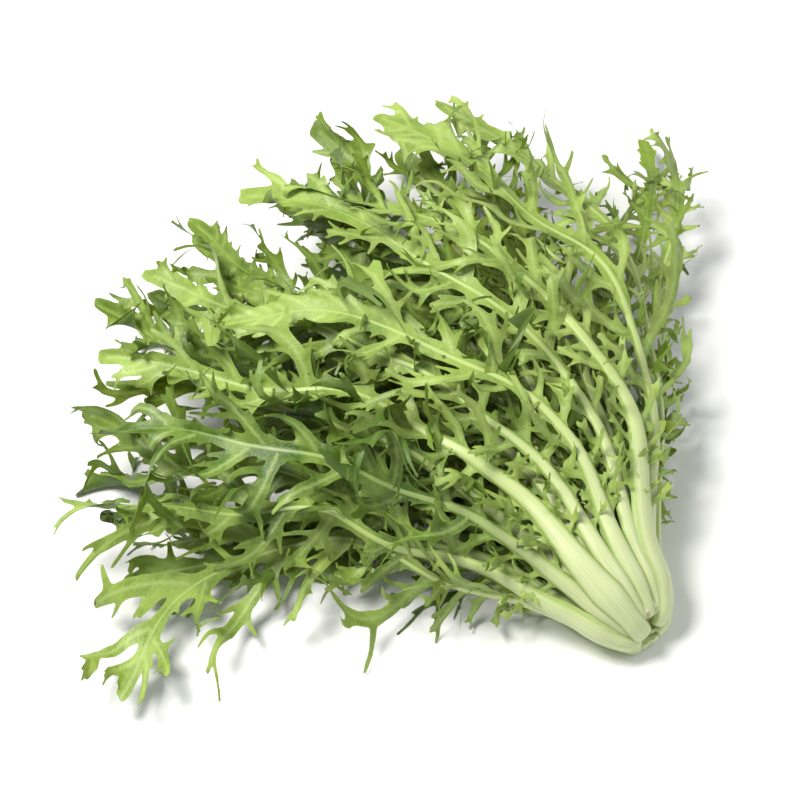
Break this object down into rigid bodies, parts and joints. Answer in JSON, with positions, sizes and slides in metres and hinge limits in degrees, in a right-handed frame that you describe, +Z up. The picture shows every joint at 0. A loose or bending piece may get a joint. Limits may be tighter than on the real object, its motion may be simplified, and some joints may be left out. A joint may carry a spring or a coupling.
{
  "type": "curly endive head",
  "caption": "Whole curly endive head lying on its side, with deeply cut frilly leaves that fan out from a short pale cut stem.",
  "frame": {"origin": "point on the resting plane under the middle of the head's box", "axes": "+Y from the cut stem towards the leaf tips, +X across the fan of leaves, +Z up from the surface it lies on"},
  "size_m": [0.5228, 0.3764, 0.1081],
  "materials": {
    "stem_flesh": "moist cut flesh",
    "heart_green": "soft satin leaf",
    "inner_green": "soft satin leaf",
    "middle_green": "soft satin leaf",
    "outer_green": "soft satin leaf",
    "skin_green": "soft satin leaf"
  },
  "bodies": {
    "root": {"heart_leaf_01": "heart_green", "heart_leaf_02": "heart_green", "heart_leaf_03": "heart_green", "heart_leaf_04": "heart_green", "heart_leaf_05": "heart_green", "heart_leaf_06": "heart_green", "heart_leaf_07": "heart_green", "heart_leaf_08": "heart_green", "inner_leaf_01": "inner_green", "inner_leaf_02": "inner_green", "inner_leaf_03": "inner_green", "inner_leaf_04": "inner_green", "inner_leaf_05": "inner_green", "inner_leaf_06": "inner_green", "inner_leaf_07": "inner_green", "inner_leaf_08": "inner_green", "inner_leaf_09": "inner_green", "inner_leaf_10": "inner_green", "middle_leaf_01": "middle_green", "middle_leaf_02": "middle_green", "middle_leaf_03": "middle_green", "middle_leaf_04": "middle_green", "middle_leaf_05": "middle_green", "middle_leaf_06": "middle_green", "middle_leaf_07": "middle_green", "middle_leaf_08": "middle_green", "middle_leaf_09": "middle_green", "middle_leaf_10": "middle_green", "middle_leaf_11": "middle_green", "middle_leaf_12": "middle_green", "middle_leaf_13": "middle_green", "middle_leaf_14": "middle_green", "middle_leaf_15": "middle_green", "middle_leaf_16": "middle_green", "outer_leaf_01": "outer_green", "outer_leaf_02": "outer_green", "outer_leaf_03": "outer_green", "outer_leaf_04": "outer_green", "outer_leaf_05": "outer_green", "outer_leaf_06": "outer_green", "outer_leaf_07": "outer_green", "outer_leaf_08": "outer_green", "outer_leaf_09": "outer_green", "outer_leaf_10": "outer_green", "skin_leaf_01": "skin_green", "skin_leaf_02": "skin_green", "skin_leaf_03": "skin_green", "skin_leaf_04": "skin_green", "skin_leaf_05": "skin_green", "skin_leaf_06": "skin_green", "skin_leaf_07": "skin_green", "skin_leaf_08": "skin_green", "skin_leaf_09": "skin_green", "skin_leaf_10": "skin_green", "skin_leaf_11": "skin_green", "skin_leaf_12": "skin_green", "skin_leaf_13": "skin_green", "skin_leaf_14": "skin_green", "skin_leaf_15": "skin_green", "stem": "stem_flesh"}
  },
  "joints": []
}
